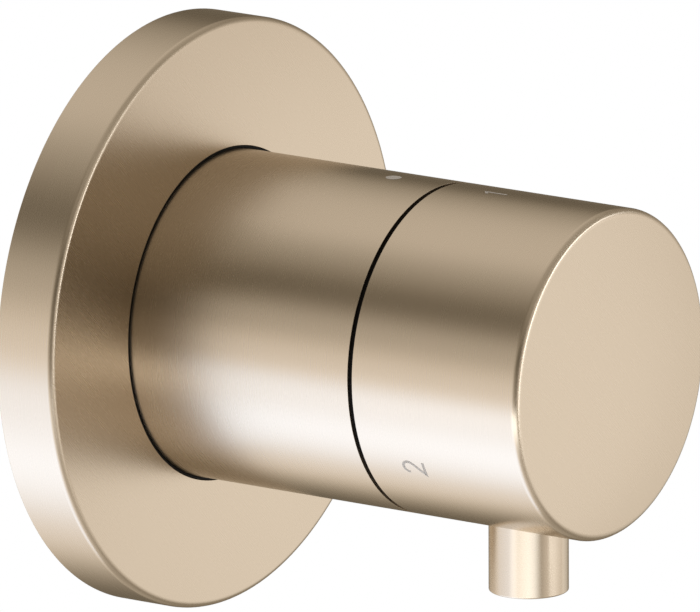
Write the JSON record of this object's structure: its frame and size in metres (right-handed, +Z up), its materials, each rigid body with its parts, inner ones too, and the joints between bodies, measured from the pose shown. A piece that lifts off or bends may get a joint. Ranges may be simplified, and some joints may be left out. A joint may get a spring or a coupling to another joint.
{
  "type": "three-way diverter valve",
  "caption": "Concealed diverter valve with a round rosette, a cylindrical turning handle with a short pin lever, and a cartridge in a ported body behind the wall.",
  "frame": {"origin": "centre of the rosette's back face, on the finished wall", "axes": "+Z up, +Y into the wall, the handle points along -Y"},
  "size_m": [0.09, 0.146, 0.09],
  "materials": {
    "champagne_metal": "brushed, champagne",
    "cast_brass": "cast and machined",
    "turned_brass": "turned",
    "spring_steel": "plain",
    "ceramic": "lapped",
    "white_acetal": "moulded",
    "black_acetal": "moulded",
    "black_rubber": "smooth",
    "foam_rubber": "foam"
  },
  "bodies": {
    "root": {"rosette": "champagne_metal", "wall_gasket": "foam_rubber", "rosette_seal": "black_rubber", "sleeve": "champagne_metal", "glide_ring": "black_acetal", "sleeve_holder": "black_acetal", "holder_o_rings": "black_rubber", "valve_body": "cast_brass", "port_seal": "black_rubber", "fixed_disc": "ceramic", "cage": "white_acetal", "cartridge_housing": "turned_brass", "body_o_ring": "black_rubber", "gland_nut": "turned_brass", "stop_ring": "turned_brass"},
    "turning_handle": {"moving_disc": "ceramic", "disc_driver": "white_acetal", "spindle": "turned_brass", "spindle_o_rings": "black_rubber", "slip_washer": "white_acetal", "stop_washer": "turned_brass", "circlip": "spring_steel", "hub": "turned_brass", "hub_o_ring": "black_rubber", "hub_screw": "spring_steel", "handle": "champagne_metal", "lever_pin": "champagne_metal"}
  },
  "joints": [
    {"name": "handle_turn", "type": "hinge", "parent": "root", "child": "turning_handle", "pos_m": [0, 0, 0], "axis": [0, 1, 0], "range_deg": [-120, 120]}
  ]
}
